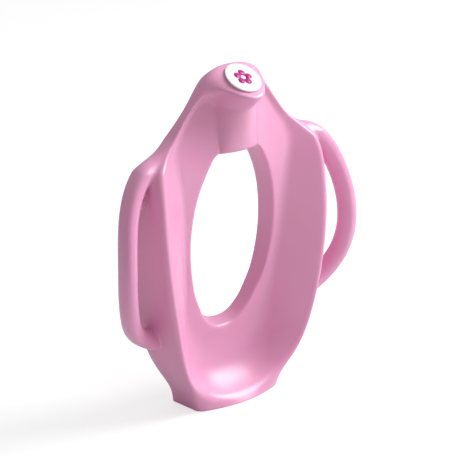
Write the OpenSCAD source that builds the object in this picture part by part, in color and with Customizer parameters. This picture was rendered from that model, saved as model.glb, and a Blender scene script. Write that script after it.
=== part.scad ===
// Potty training seat: a moulded plastic seat that lies on a toilet, with a splash pommel,
// two arched side handles and a flat foot on which it stands upright when it is put away.
// +Z is up, -Y is the side a child sits on, +Y is the side that rests on the toilet.
// The origin is the middle of the foot's flat face, on the floor.

/* [Shell] */
// Height of the seat as it stands on its foot
seat_h = 385; // [358:1:416]
// Width across the rim, without the handles
rim_w = 244; // [228:1:260]
// How far the rim stands in front of the base plane at the sides
rim_depth = 59; // [51:0.5:67]
// Forward lean of the base plane, in degrees
base_lean = 3; // [2:0.1:4]
// Wall thickness of the moulding
wall = 3; // [2.4:0.1:3.6]
// Rounding of the rim
rim_round = 7; // [5:0.5:9]
// How far the base edge flares out past the rim at the sides
base_flare = 11; // [8:0.5:14]

/* [Opening] */
// Width of the opening
hole_w = 122; // [112:1:130]
// Length of the opening
hole_l = 210; // [196:1:222]
// Height of the opening's lower edge above the floor
hole_z = 80; // [76:1:86]
// Rounding of the opening's front edge
hole_round = 4; // [3:0.5:6]
// Depth of the seat's bowl below the opening's lower edge
bowl_sag = 9; // [6:0.5:12]

/* [Pommel] */
// How far the pommel's lip stands in front of the base plane
lip_depth = 57; // [51:0.5:63]
// Width of the pommel's lip
lip_w = 72; // [66:1:80]
// Rounding of the pommel's lip
lip_round = 6; // [4:0.5:8]
// How far the pommel's column swells out in the middle
column_swell = 3; // [1.5:0.5:5]

/* [Foot] */
// Width of the foot
foot_w = 122; // [112:1:132]
// Depth of the foot at its middle
foot_depth = 57; // [54:1:62]
// How much the foot's front bows out
foot_bow = 14; // [10:1:18]

/* [Handles] */
// How far the middle of the grip lies outside the rim
handle_reach = 39; // [35:1:44]
// Size of the grip across the finger gap
grip_w = 19.5; // [17:0.5:22]
// Size of the grip from front to back
grip_depth = 20.5; // [18:0.5:24]
// How much wider than the grip its upper root is
root_flare = 6; // [4:0.5:8]
// Thickness of the web behind the upper end of the finger gap
web_t = 3.5; // [3:0.1:5]
// How far down the grip the web reaches, as a share of the grip's length
web_to = 0.345; // [0.3:0.005:0.38]
// How far the web's lower edge stands in front of its upper end
web_forward = 3; // [1:0.5:5]
// How far the web lies behind the grip's middle line
web_setback = 4; // [2:0.5:6]

/* [Ribs] */
// Thickness of the ribs under the seat
rib_t = 2; // [1.6:0.1:2.6]
// How far the ribs stay back from the base plane
rib_setback = 9; // [7:0.5:12]

/* [Badge] */
// Diameter of the badge
badge_d = 42; // [36:1:44]
// Thickness of the badge
badge_t = 1.8; // [1.4:0.1:2.6]
// How much smaller than the badge its flat seat is
badge_overhang = 0.6; // [0.2:0.1:1]
// Clearance round the badge where its seat is let into the crown
badge_gap = 0.3; // [0.2:0.1:0.6]

/* [Grip strips] */
// Width of the anti-slip strips
strip_w = 4; // [3:0.5:5]
// Height of the anti-slip strips
strip_h = 7; // [5:0.5:8]
// How far the anti-slip strips stand out behind the base plane
strip_proud = 1; // [0.6:0.1:1.6]
// Clearance between the strips and the shell
strip_gap = 0.2; // [0.1:0.05:0.4]

/* [Hidden] */
pink = [0.93, 0.62, 0.78];
white = [0.96, 0.96, 0.95];
rubber_grey = [0.75, 0.72, 0.74];

// Guide points of the right half, from the bottom middle to the top middle.
// Each row is [x, height, depth] for the opening's front edge at its usual size.
HOLE = [[0, 0.5, 20], [12, 2, 20], [21.5, 8, 20.5], [29, 15.5, 21.5], [35, 22.5, 22.5], [40, 31.5, 24],
    [44.8, 41, 25.5], [50, 51, 27], [54, 64, 29], [58.5, 85, 31], [61, 108, 33], [60, 132, 34.5],
    [56.5, 155, 36.5], [50.5, 174, 38], [44.5, 187, 39.5], [39, 197, 40.5], [35, 204, 41],
    [31.5, 207.5, 41.5], [29.5, 209, 42], [28, 209.5, 42], [26, 210, 42], [20.5, 210, 42], [11, 210, 42],
    [0, 210, 42]];
// Guide points of the rim at its usual size: [x, height, depth in front of the base plane].
// The last rows follow the pommel's flank up to the middle of its lip.
RIM = [[0, 8, 50], [24, 9, 50], [42, 13, 50.5], [54, 18, 51], [63.5, 25, 51.5], [72.5, 31, 53],
    [82, 40, 55], [91, 55.5, 57], [99, 77, 58.5], [108, 114, 59.5], [116, 155, 58], [121, 196, 54.5],
    [122, 234, 49.5], [119, 268, 41.5], [111, 298, 28], [91, 305, 17.5], [75, 324, 14.5], [60, 343, 14],
    [47, 357, 16.5], [36, 362, 23], [29, 362, 33], [22.5, 358.5, 43], [12.5, 354, 53], [0, 352, 57]];
// Place of the seat's fold line between opening and rim, and its depth past the opening's edge.
FOLD = [[.72, -9], [.71, -9], [.67, -8.5], [.62, -8], [.56, -7.5], [.49, -7], [.42, -5.5], [.34, -4.5],
    [.27, -3.5], [.2, -3], [.2, -2], [.22, -1.5], [.3, -2], [.42, -2.5], [.6, -4], [.8, -8], [.82, -12],
    [.8, -12.5], [.8, -10.5], [.78, -8], [.7, -7.5], [.74, 1.5], [.76, 6], [.77, 8.5]];
// Middle and base edge of the foot and lower outside, as [x, height, depth].
FOOT_MID = [[0, 0, 0], [26, 0, 0], [48, 0, 0], [59, 0, 0], [62, 0, 36], [62.5, 7, 31], [68, 22, 29],
    [82, 42.5, 29], [98.5, 70, 31]];
FOOT_BASE = [[0, 0], [26, 0], [48, 0], [59, 0], [62, 0], [62, 6], [66, 20], [79, 37], [99.5, 66]];
// How far the outside lies past the rim, in the middle and at the base edge, as [x, height], and the
// middle's depth as a share of the way from the base plane to the rim.
SIDE = [[4.5, -3, 9, -5, .5], [5.5, -2, 11, -4, .5], [5.5, -1, 11, -2, .5], [5.5, 0, 11, 0, .5],
    [5, 1, 9, 1, .6], [7, -7, 5, 1.5, .75], [0, 1.5, 0, 2, .6], [-0.5, 0, -1.5, 0, .5], [-2, 0, -4, -1, .5],
    [0, 3, -2, 2, .5]];
// The pommel's crown behind its lip, as [x, height, depth], and its base edge as [x, height].
CROWN = [[42.5, 369, 11], [37, 376, 10.5], [27, 381.5, 9], [14, 384, 7.5], [0, 384.5, 7]];
CROWN_BASE = [[40, 365], [35, 371], [25, 376], [13, 379], [0, 380]];
// Roundings at the fold line and at the outside's middle line.
FOLD_ROUND = [24, 24, 22, 20, 18, 16, 14, 12, 11, 10, 10, 10, 10, 10, 10, 9, 7, 6, 5, 5, 5, 7, 8, 8];
EDGE_ROUND = [2, 2, 2, 2, 4, 8, 8, 8, 8, 8, 8, 8, 8, 8, 8, 4, 3, 3, 4, 8, 12, 14, 14, 14];

// The sizes at which the guide points above are drawn.
usual_seat_h = 385;
usual_rim_w = 244;
usual_rim_depth = 59;
usual_flare = 11;
usual_hole_w = 122;
usual_hole_l = 210;
usual_sag = 9;
usual_lip_w = 72;
usual_lip_depth = 57;
usual_foot_w = 122;
usual_root_flare = 6;
// The opening's back edge is a little narrower than its front edge, and higher at the lower end.
hole_taper = .975;
hole_draft = 9;
last = len(RIM) - 1;
side_first = len(FOOT_MID);
crown_first = last + 1 - len(CROWN);
lip_first = last - 4;
columns = 96;
// Stations of the ribs, and the stretch of the anti-slip strips.
RIBS = [2.5, 8.5, 11, 13.2, 16.5];
strip_from = 9;
strip_to = 13;
depth_scale = rim_depth / usual_rim_depth;

function unit(v) = v / norm(v);
function mix(a, b, t) = a + (b - a) * t;
function plane(z) = z * tan(base_lean);
function rim_x(x) = x * rim_w / usual_rim_w;
function tall(z) = z * seat_h / usual_seat_h;

// One point of each guide line, in [x, height, depth], at half-station i.
function hole_edge(i) = [
    HOLE[i][0] * hole_w / usual_hole_w,
    hole_z + HOLE[i][1] * hole_l / usual_hole_l,
    HOLE[i][2] + (i < lip_first + 1 ? 0 : column_swell * sin(90 * (i - lip_first - 1) / 3))];
function hole_back(i) = let (p = hole_edge(i), z = p[1] + hole_draft * max(0, 1 - i / 10))
    [p[0] * hole_taper, z, plane(z)];
function rim(i) = let (z = tall(RIM[i][1]), lip = i >= lip_first)
    [lip ? RIM[i][0] * lip_w / usual_lip_w : rim_x(RIM[i][0]), z,
    plane(z) + RIM[i][2] * (lip ? lip_depth / usual_lip_depth : depth_scale)];
function fold(i) = let (a = hole_edge(i), b = rim(i), p = mix(a, b, FOLD[i][0]))
    [p[0], p[1], a[2] + FOLD[i][1] * (i < 6 ? bowl_sag / usual_sag : 1)];
function foot_front(x) = foot_depth - foot_bow * pow(2 * x / foot_w, 2);
function foot_x(x) = x * foot_w / usual_foot_w;
function outer_mid(i) = i < 4 ? let (x = foot_x(FOOT_MID[i][0])) [x, 0, foot_front(x)]
    : i < 7 ? let (p = FOOT_MID[i]) [foot_x(p[0]), p[1], p[2]]
    : i < side_first ? let (p = FOOT_MID[i]) [rim_x(p[0]), tall(p[1]), p[2]]
    : i < crown_first ? let (s = SIDE[i - side_first], r = rim(i), z = r[1] + s[1])
        [r[0] + s[0] * base_flare / usual_flare, z, mix(plane(z), r[2], s[4])]
    : let (c = CROWN[i - crown_first]) [c[0] * lip_w / usual_lip_w, tall(c[1]), plane(tall(c[1])) + c[2]];
function base_edge(i) = i < 7 ? let (p = FOOT_BASE[i]) [foot_x(p[0]), p[1], plane(p[1])]
    : i < side_first ? let (p = FOOT_BASE[i], z = tall(p[1])) [rim_x(p[0]), z, plane(z)]
    : i < crown_first ? let (s = SIDE[i - side_first], r = rim(i), z = r[1] + s[3])
        [r[0] + s[2] * base_flare / usual_flare, z, plane(z)]
    : let (c = CROWN_BASE[i - crown_first], z = tall(c[1])) [c[0] * lip_w / usual_lip_w, z, plane(z)];

// A guide line closed over both halves, and a smooth curve along it.
function both(half) = concat(half, [for (i = [last - 1:-1:1]) [-half[i][0], half[i][1], half[i][2]]]);
function both_sizes(half) = concat(half, [for (i = [last - 1:-1:1]) half[i]]);
function blend(a, b, c, d, t) =
    (pow(1 - t, 3) * a + (3 * t * t * t - 6 * t * t + 4) * b
    + (1 + 3 * t + 3 * t * t - 3 * t * t * t) * c + t * t * t * d) / 6;
function spline(loop, u) = let (n = len(loop), i = floor(u))
    blend(loop[(i - 1 + n) % n], loop[i % n], loop[(i + 1) % n], loop[(i + 2) % n], u - i);

GUIDES = [
    both([for (i = [0:last]) hole_back(i)]),
    both([for (i = [0:last]) hole_edge(i)]),
    both([for (i = [0:last]) fold(i)]),
    both([for (i = [0:last]) rim(i)]),
    both([for (i = [0:last]) outer_mid(i)]),
    both([for (i = [0:last]) base_edge(i)])];
FOLD_ROUNDS = both_sizes(FOLD_ROUND);
EDGE_ROUNDS = both_sizes(EDGE_ROUND);
function corners(u) = [for (g = GUIDES) spline(g, u)];
function rounds(u) =
    let (top = abs(u - last) < 4.5)
    [0, hole_round, spline(FOLD_ROUNDS, u), top ? lip_round : rim_round, spline(EDGE_ROUNDS, u), 0];

// The cross-section's corners moved inwards by t, square to its own legs.
function flat(p, origin, dir) = [(p[0] - origin[0]) * dir[0] + (p[1] - origin[1]) * dir[1], p[2]];
function lateral(p, origin, dir) = (p[1] - origin[1]) * dir[0] - (p[0] - origin[0]) * dir[1];
function inward(c, t) =
    let (o = c[1], dir = unit([c[3][0] - o[0], c[3][1] - o[1]]),
        f = [for (p = c) flat(p, o, dir)],
        n = [for (k = [0:4]) let (e = unit(f[k + 1] - f[k])) [e[1], -e[0]]])
    [for (k = [0:5])
        let (a = n[max(k - 1, 0)], b = n[min(k, 4)],
            m = (a + b) / max(1 + a * b, 0.35), q = f[k] + m * t, s = lateral(c[k], o, dir))
        [o[0] + q[0] * dir[0] - s * dir[1], o[1] + q[0] * dir[1] + s * dir[0], q[1]]];

// The same with its two ends carried along their legs to the base plane.
function to_base(p, e) = p + e * (plane(p[1]) - p[2]) / (e[2] - e[1] * tan(base_lean));
function inner(u, t) = let (q = inward(corners(u), t)) concat(
    [to_base(q[0], unit(q[0] - q[1]))], [for (k = [1:4]) q[k]], [to_base(q[5], unit(q[5] - q[4]))]);

// A line through the corners, with each inner corner rounded over r along its legs.
function rounded(c, r, steps) = [for (k = [0:5])
    let (before = k > 0 ? norm(c[k] - c[k - 1]) : 0, after = k < 5 ? norm(c[k + 1] - c[k]) : 0,
        len = min(r[k], before * 0.48, after * 0.48))
    each (steps[k] == 0 ? [c[k]]
        : let (p = c[k] + unit(c[k - 1] - c[k]) * len, q = c[k] + unit(c[k + 1] - c[k]) * len)
        [for (j = [0:steps[k]]) let (t = j / steps[k])
            (1 - t) * (1 - t) * p + 2 * t * (1 - t) * c[k] + t * t * q])];
// From [x, height, depth in front of the foot's rear edge] to the model's own frame.
function place(p) = [p[0], foot_depth / 2 - p[2], p[1]];
function reversed(v) = [for (i = [len(v) - 1:-1:0]) v[i]];

function section(u) =
    let (r = rounds(u), q = inner(u, wall))
    concat(rounded(corners(u), r, [0, 2, 3, 4, 3, 0]),
        reversed(rounded(q, [for (k = [0:5]) max(r[k] - wall * 0.6, 1)], [0, 1, 2, 2, 1, 0])));

// A closed skin over rings that close on themselves, the same on both halves.
module ring_skin(rings) {
    n = len(rings);
    m = len(rings[0]);
    polyhedron(points = [for (r = rings) each [for (p = r) place(p)]],
        faces = [for (i = [0:n - 1], j = [0:m - 1])
            let (a = i * m + j, b = i * m + (j + 1) % m,
                c = ((i + 1) % n) * m + (j + 1) % m, d = ((i + 1) % n) * m + j)
            each (i < n / 2 ? [[a, c, b], [a, d, c]] : [[d, c, b], [d, b, a]])],
        convexity = 10);
}

module shell() {
    ring_skin([for (i = [0:columns - 1]) section(i * 2 * last / columns)]);
}

// The space under the shell, from the middle of its wall to just behind the base plane.
module hollow() {
    ring_skin([for (i = [0:columns / 2 - 1])
        let (u = i * 4 * last / columns, q = inner(u, wall / 2), back = [0, 0, -wall])
        concat([q[0] + back], rounded(q, [for (r = rounds(u)) max(r - 1, .5)], [0, 1, 2, 2, 1, 0]),
            [q[5] + back])]);
}

// Guide points of the grip's middle line: [x along the rim's side, share of the reach, height, depth
// in front of the base plane], and what the grip's width and depth gain there.
GRIP = [[97, 0, 290, 9, 6, -2], [108, 0, 291.5, 12, 4, 1], [119, .02, 288, 14.5, 3, 2],
    [123, .19, 280.5, 16.5, 2, 2], [123, .54, 264.5, 21, 1, 1], [124, .81, 240, 28.5, 0, 0],
    [124, .97, 212, 36.5, 0, 0], [124, 1.03, 185, 40.5, 0, 0], [124, 1, 160, 40, 0, 0],
    [123, .87, 138, 36, 0, 0], [120, .69, 118.5, 28.5, 0, 0], [115, .42, 104.5, 22, 1, 0],
    [108, .15, 95.5, 17.5, 3, 1], [100, 0, 90.5, 15, 5, 2]];
// Where the web starts, as a share of the grip's length, and the shell's side at its two ends.
web_from = .16;
WEB_ROOT = [118, 124];
web_panels = 4;
grip_steps = 26;
grip_sides = 22;

function grip_row(i) = let (g = GRIP[min(max(i, 0), len(GRIP) - 1)], z = tall(g[2]))
    [rim_x(g[0]) + g[1] * handle_reach, z, plane(z) + g[3] * depth_scale,
    g[4] * root_flare / usual_root_flare, g[5]];
// The grip's middle line, from 0 at the upper root to 1 at the lower end.
function grip_at(t) =
    let (n = len(GRIP) - 1, i = min(floor(t * n), n - 1))
    blend(grip_row(i - 1), grip_row(i), grip_row(i + 1), grip_row(i + 2), t * n - i);

// How square the grip's section is: a power of 2 is an oval, and a higher one a squarer shape. The
// corner in front that faces the shell is cut away.
grip_square = 3;
grip_cut = 1.7;
function bent(v, power) = sign(v) * pow(abs(v), 2 / power);

// A rounded-square ring round the grip's middle line, square to it.
function grip_ring(t) =
    let (p = grip_at(t), o = place(p),
        w = unit(place(grip_at(min(t + .01, 1))) - place(grip_at(max(t - .01, 0)))),
        u = unit(cross(w, [0, 1, 0])), v = cross(w, u))
    [for (k = [0:grip_sides - 1])
        let (a = 360 * (k + .5) / grip_sides, power = cos(a) < 0 && sin(a) > 0 ? grip_cut : grip_square)
        o + u * bent(cos(a), power) * (grip_w + p[3]) / 2 + v * bent(sin(a), power) * (grip_depth + p[4]) / 2];

// A closed tube over open-ended rings.
module tube_skin(rings) {
    n = len(rings);
    m = len(rings[0]);
    polyhedron(points = [for (r = rings) each r],
        faces = concat([[for (k = [0:m - 1]) k]],
            [for (i = [0:n - 2], j = [0:m - 1])
                let (a = i * m + j, b = i * m + (j + 1) % m) each [[a, b + m, b], [a, a + m, b + m]]],
            [[for (k = [m - 1:-1:0]) (n - 1) * m + k]]), convexity = 4);
}

module handle() {
    difference() {
        tube_skin([for (i = [0:grip_steps]) grip_ring(i / grip_steps)]);
        hollow();
    }
}

// One panel of the web that closes the upper end of the finger gap, from the shell's side to the grip.
module web_panel(t0, t1) {
    hull() for (t = [t0, t1]) {
        p = grip_at(t);
        share = (t - web_from) / (web_to - web_from);
        root_x = rim_x(mix(WEB_ROOT[0], WEB_ROOT[1], share));
        for (x = [min(root_x, p[0]), p[0]])
            translate(place([x, p[1] - 1, p[2] + web_forward * share - web_setback])) sphere(d = web_t, $fn = 12);
    }
}

// A stiffening rib under the seat, across the hollow between opening and outer wall.
module rib(u) {
    c = corners(u);
    o = c[1];
    dir = unit([c[3][0] - o[0], c[3][1] - o[1]]);
    line = rounded(inward(c, wall / 2), [for (r = rounds(u)) max(r - 1, .5)], [0, 2, 2, 3, 2, 0]);
    multmatrix([[dir[0], 0, dir[1], o[0]], [0, -1, 0, foot_depth / 2], [dir[1], 0, -dir[0], o[1]]])
        linear_extrude(rib_t, center = true)
        polygon([for (p = line) [flat(p, o, dir)[0], max(p[2], plane(p[1]) + rib_setback)]]);
}

// The badge's place: the middle of the crown's front slope, and square to it.
badge_low = rim(last);
badge_high = outer_mid(last);
badge_centre = place(mix(badge_low, badge_high, .565));
badge_lean = atan2(badge_low[2] - badge_high[2], badge_high[1] - badge_low[1]);
module on_badge_seat() {
    translate(badge_centre) rotate([90 - badge_lean, 0, 0]) children();
}

module seat_body() {
    color(pink) render(convexity = 10) difference() {
        union() {
            shell();
            on_badge_seat() translate([0, 0, -wall * 2])
                cylinder(d = badge_d - 2 * badge_overhang, h = wall * 2, $fn = 64);
            for (m = [0, 1]) mirror([m, 0, 0]) {
                handle();
                for (i = [0:web_panels - 1]) {
                    step = (web_to - web_from) / web_panels;
                    web_panel(web_from + i * step, web_from + (i + 1) * step);
                }
                for (u = RIBS) rib(u);
            }
        }
        on_badge_seat() cylinder(d = badge_d + 2 * badge_gap, h = 12, $fn = 64);
    }
}

module badge() {
    color(white) on_badge_seat() cylinder(d = badge_d, h = badge_t, $fn = 64);
}

// A soft strip inside the outer wall's base edge, over a stretch of one side.
module grip_strip() {
    steps = 16;
    pts = [for (i = [0:steps])
        let (u = mix(strip_from, strip_to, i / steps),
            a = inner(u, wall + strip_gap), b = inner(u, wall + strip_gap + strip_w),
            e = unit(a[4] - a[5]), f = unit(b[4] - b[5]))
        each [place(a[5] - e * strip_proud), place(a[5] + e * (strip_h - strip_proud)),
            place(b[5] + f * (strip_h - strip_proud)), place(b[5] - f * strip_proud)]];
    polyhedron(points = pts, faces = concat(
        [[0, 2, 1], [0, 3, 2]],
        [for (i = [0:steps - 1], j = [0:3]) let (a = i * 4 + j, b = i * 4 + (j + 1) % 4)
            each [[a, b + 4, a + 4], [a, b, b + 4]]],
        [let (k = steps * 4) each [[k, k + 1, k + 2], [k, k + 2, k + 3]]]), convexity = 4);
}
module grip_strip_right() { color(rubber_grey) grip_strip(); }
module grip_strip_left() { color(rubber_grey) mirror([1, 0, 0]) grip_strip(); }

seat_body();
badge();
grip_strip_right();
grip_strip_left();
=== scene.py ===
"""Looks of a child's potty training seat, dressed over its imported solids.

The seat is one glossy pink polypropylene moulding: a bowl-shaped shell round a long opening, a pommel
at the top, a flat foot at the bottom and an arched handle on each side. A round white badge is let into
the pommel's crown, and two soft strips sit inside the edge that rests on the toilet.

Guide points are [x, height, depth], with the depth measured in front of the foot's rear edge, in
millimetres. Meshes are in metres, +Z up, with the side a child sits on towards -Y.
"""

import logging
import math
from dataclasses import dataclass, field
from enum import Enum, IntEnum
from typing import Any

import bpy
import numpy as np
from mathutils import Matrix, Vector


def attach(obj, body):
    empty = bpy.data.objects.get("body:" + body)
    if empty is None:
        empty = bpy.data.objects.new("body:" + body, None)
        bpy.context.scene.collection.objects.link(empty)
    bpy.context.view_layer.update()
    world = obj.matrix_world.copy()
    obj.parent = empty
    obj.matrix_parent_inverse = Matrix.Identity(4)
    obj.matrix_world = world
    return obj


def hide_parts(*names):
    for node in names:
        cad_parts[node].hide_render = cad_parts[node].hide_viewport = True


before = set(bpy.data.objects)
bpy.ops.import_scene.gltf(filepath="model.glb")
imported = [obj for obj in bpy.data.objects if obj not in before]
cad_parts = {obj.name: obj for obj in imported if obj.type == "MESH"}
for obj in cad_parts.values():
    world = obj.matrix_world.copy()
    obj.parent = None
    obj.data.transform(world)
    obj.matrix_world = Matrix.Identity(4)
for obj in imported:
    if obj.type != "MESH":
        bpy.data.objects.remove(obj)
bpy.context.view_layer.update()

LOG = logging.getLogger("seat")
MM = 0.001
IMAGE_PX = 470


class Slot(Enum):
    """The record's material slots."""

    SEAT = "seat_plastic"
    BADGE = "badge_plastic"
    STRIP = "strip_rubber"


class Part(IntEnum):
    """The surface that a face comes from, kept as its material index until the moulding is dressed."""

    SHELL = 0
    HANDLE = 1
    WEB = 2
    RIB = 3
    BADGE_SEAT = 4


class Change(Enum):
    """What a second solid does to the first."""

    ADD = "UNION"
    CUT = "DIFFERENCE"


def unit(v: np.ndarray) -> np.ndarray:
    """Scales the vectors along the last axis to length one."""
    return v / np.maximum(np.linalg.norm(v, axis=-1, keepdims=True), 1e-12)


def b_spline(points: np.ndarray, u: np.ndarray, closed: bool = True) -> np.ndarray:
    """A uniform cubic B-spline, which runs near its guide points with a steady curvature.

    Each value is the sum of four neighbouring points, weighted by the cubic B-spline's four polynomials.

    Args:
        points: Guide points, one row each.
        u: Places along the curve, where 1 is the step from one guide point to the next.
        closed: Whether the last point is followed by the first.

    Returns:
        One row for each value of u.
    """
    n = len(points)
    first = np.floor(u).astype(int)
    if not closed:
        first = np.minimum(first, n - 2)
    t = (u - first)[:, None]
    near = first[:, None] + np.arange(-1, 3)
    near = near % n if closed else np.clip(near, 0, n - 1)
    a, b, c, d = (points[near[:, k]] for k in range(4))
    return ((1 - t) ** 3 * a + (3 * t**3 - 6 * t**2 + 4) * b
            + (1 + 3 * t + 3 * t**2 - 3 * t**3) * c + t**3 * d) / 6


def table(*rows: list[float] | float) -> Any:
    """A dataclass field that holds a table of guide values, one row for each guide place."""
    return field(default_factory=lambda: np.array(rows, float))


@dataclass(frozen=True)
class SeatSizes:
    """The driving sizes of the seat in millimetres, and the angle of its base plane in degrees."""

    base_lean: float = 3
    wall: float = 3
    rim_round: float = 11
    hole_z: float = 80
    hole_round: float = 4
    hole_taper: float = 0.975
    hole_draft: float = 9
    lip_round: float = 6
    column_swell: float = 3
    foot_w: float = 122
    foot_depth: float = 57
    foot_bow: float = 14
    edge_round: float = 0.8

    def plane(self, height: np.ndarray) -> np.ndarray:
        """Depth of the leaning base plane at a height."""
        return height * math.tan(math.radians(self.base_lean))

    def place(self, p: np.ndarray) -> np.ndarray:
        """Turns [x, height, depth] into the seat's own frame, still in millimetres."""
        return np.stack([p[..., 0], self.foot_depth / 2 - p[..., 2], p[..., 1]], axis=-1)


SIZES = SeatSizes()


def both_halves(half: np.ndarray) -> np.ndarray:
    """Closes a guide line over both halves, from the bottom middle up one side and down the other.

    Args:
        half: Rows from the bottom middle to the top middle, with x first where a row has more than one value.

    Returns:
        The same rows, followed by their mirror image on the way down.
    """
    mirrored = half[-2:0:-1].copy()
    if mirrored.ndim == 2:
        mirrored[:, 0] *= -1
    return np.concatenate([half, mirrored])


def quads(rows: int, cols: int, wrap_rows: bool, flip: bool = False) -> np.ndarray:
    """Faces of a grid whose columns close on themselves.

    Args:
        rows: Number of rings.
        cols: Number of points in each ring.
        wrap_rows: Whether the last ring joins the first.
        flip: Whether to turn the faces over.

    Returns:
        Four vertex numbers for each face.
    """
    i = np.arange(rows if wrap_rows else rows - 1)[:, None]
    j = np.arange(cols)[None, :]
    after, beside = (i + 1) % rows, (j + 1) % cols
    faces = np.stack([i * cols + j, i * cols + beside, after * cols + beside, after * cols + j], axis=-1)
    faces = faces.reshape(-1, 4)
    return faces[:, ::-1] if flip else faces


def capped(rows: int, cols: int, flip: bool = False) -> list[list[int]]:
    """Faces of a tube of rings that is closed by one flat face at each end.

    Args:
        rows: Number of rings.
        cols: Number of points in each ring.
        flip: Whether to turn the faces over.

    Returns:
        A list of vertex numbers for each face.
    """
    first = list(range(cols))
    last = list(range((rows - 1) * cols, rows * cols))
    ends = [first, last[::-1]] if flip else [first[::-1], last]
    return quads(rows, cols, False, flip).tolist() + ends


def mesh_object(name: str, points: np.ndarray, faces: list | np.ndarray, part: int = 0) -> bpy.types.Object:
    """Makes a smooth-shaded mesh object from points in millimetres.

    Args:
        name: The object's name.
        points: Points in the seat's own frame, in millimetres.
        faces: Lists of vertex numbers, counter-clockwise from outside.
        part: A number kept on each face as its material index, to tell joined surfaces apart.

    Returns:
        The new object, at the origin.
    """
    mesh = bpy.data.meshes.new(name)
    corners = np.asarray(points).reshape(-1, 3) * MM
    mesh.from_pydata(corners.tolist(), [], [list(map(int, f)) for f in faces])
    mesh.validate()
    mesh.polygons.foreach_set("use_smooth", np.ones(len(mesh.polygons), bool))
    mesh.polygons.foreach_set("material_index", np.full(len(mesh.polygons), part, np.int32))
    piece = bpy.data.objects.new(name, mesh)
    bpy.context.scene.collection.objects.link(piece)
    return piece


def combine(target: bpy.types.Object, tool: bpy.types.Object, change: Change) -> None:
    """Joins or cuts one closed solid with another by a manifold boolean, and removes the other.

    Args:
        target: The solid that is kept.
        tool: The solid that is added or taken away.
        change: Which of the two it is.
    """
    step = target.modifiers.new("combine", "BOOLEAN")
    step.object = tool
    step.operation = change.value
    step.solver = "MANIFOLD"
    bpy.context.view_layer.update()
    result = bpy.data.meshes.new_from_object(target.evaluated_get(bpy.context.evaluated_depsgraph_get()))
    target.modifiers.clear()
    old = target.data
    target.data = result
    bpy.data.meshes.remove(old)
    bpy.data.objects.remove(tool)


def vertex_array(mesh: bpy.types.Mesh) -> np.ndarray:
    """Reads a mesh's vertices.

    Args:
        mesh: Any mesh.

    Returns:
        One row of three coordinates for each vertex, in metres.
    """
    out = np.empty(len(mesh.vertices) * 3)
    mesh.vertices.foreach_get("co", out)
    return out.reshape(-1, 3)


def edge_array(mesh: bpy.types.Mesh) -> np.ndarray:
    """Reads a mesh's edges.

    Args:
        mesh: Any mesh.

    Returns:
        One row of two vertex numbers for each edge.
    """
    out = np.empty(len(mesh.edges) * 2, np.int32)
    mesh.edges.foreach_get("vertices", out)
    return out.reshape(-1, 2)


def seam_vertices(mesh: bpy.types.Mesh, a: Part, b: Part) -> np.ndarray:
    """Numbers of the vertices where faces of two parts meet.

    Args:
        mesh: A mesh whose faces carry their part in the material index.
        a: One part.
        b: The other part.

    Returns:
        The vertex numbers that touch faces of both.
    """
    part = np.empty(len(mesh.polygons), np.int32)
    mesh.polygons.foreach_get("material_index", part)
    sides = np.empty(len(mesh.polygons), np.int32)
    mesh.polygons.foreach_get("loop_total", sides)
    corner = np.empty(len(mesh.loops), np.int32)
    mesh.loops.foreach_get("vertex_index", corner)
    owner = np.repeat(part, sides)
    count = len(mesh.vertices)
    touches = [np.bincount(corner[owner == p], minlength=count) > 0 for p in (a, b)]
    return np.nonzero(touches[0] & touches[1])[0]


def distance_to(points: np.ndarray, targets: np.ndarray, block: int = 4000) -> np.ndarray:
    """Distance from each point to its nearest target.

    The square of a distance is |p|^2 + |q|^2 - 2 p.q, taken for a block of points against all targets.

    Args:
        points: Points, one row each.
        targets: Points that are measured to, one row each.
        block: How many points are taken at once, which keeps the arrays small.

    Returns:
        One distance for each point.
    """
    out = np.empty(len(points))
    for start in range(0, len(points), block):
        chunk = points[start:start + block]
        square = (chunk**2).sum(1)[:, None] + (targets**2).sum(1)[None, :] - 2 * chunk @ targets.T
        out[start:start + block] = np.sqrt(np.maximum(square.min(1), 0))
    return out


@dataclass(frozen=True)
class Fillet:
    """How the seam between two joined surfaces is rounded, in millimetres and smoothing rounds.

    It comes in above one height, over a fade, so that it can be wide at the top of a seam alone.
    """

    reach: float
    rounds: int
    above: float = -50.0
    fade: float = 8.0

    def apply(self, mesh: bpy.types.Mesh, seam: np.ndarray) -> None:
        """Rounds a seam: each vertex moves towards the mean of its neighbours, again and again.

        The move fades from half a step at the seam to nothing at the fillet's reach.

        Args:
            mesh: The mesh, changed in place.
            seam: Vertex numbers along the seam.
        """
        if not len(seam):
            return
        co = vertex_array(mesh)
        away = distance_to(co, co[seam]) / (self.reach * MM)
        share = np.clip(1 - away, 0, 1)
        lifted = np.clip((co[:, 2] / MM - self.above) / self.fade, 0, 1)
        weight = (0.5 * share**2 * (3 - 2 * share) * lifted)[:, None]
        edges = edge_array(mesh)
        active = np.nonzero((weight[edges[:, 0], 0] > 0) | (weight[edges[:, 1], 0] > 0))[0]
        one, two = edges[active].T
        count = np.bincount(one, minlength=len(co)) + np.bincount(two, minlength=len(co))
        count = np.maximum(count, 1)[:, None]
        for _ in range(self.rounds):
            total = np.stack([np.bincount(one, co[two, k], len(co)) + np.bincount(two, co[one, k], len(co))
                              for k in range(3)], axis=1)
            co += weight * (total / count - co)
        mesh.vertices.foreach_set("co", co.ravel())
        mesh.update()


def bare_tree(owner: bpy.types.Material | bpy.types.World) -> bpy.types.NodeTree:
    """Switches a material or world to nodes and empties its tree.

    Args:
        owner: The material or world.

    Returns:
        Its node tree, with nothing in it.
    """
    owner.use_nodes = True
    owner.node_tree.nodes.clear()
    return owner.node_tree


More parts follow.
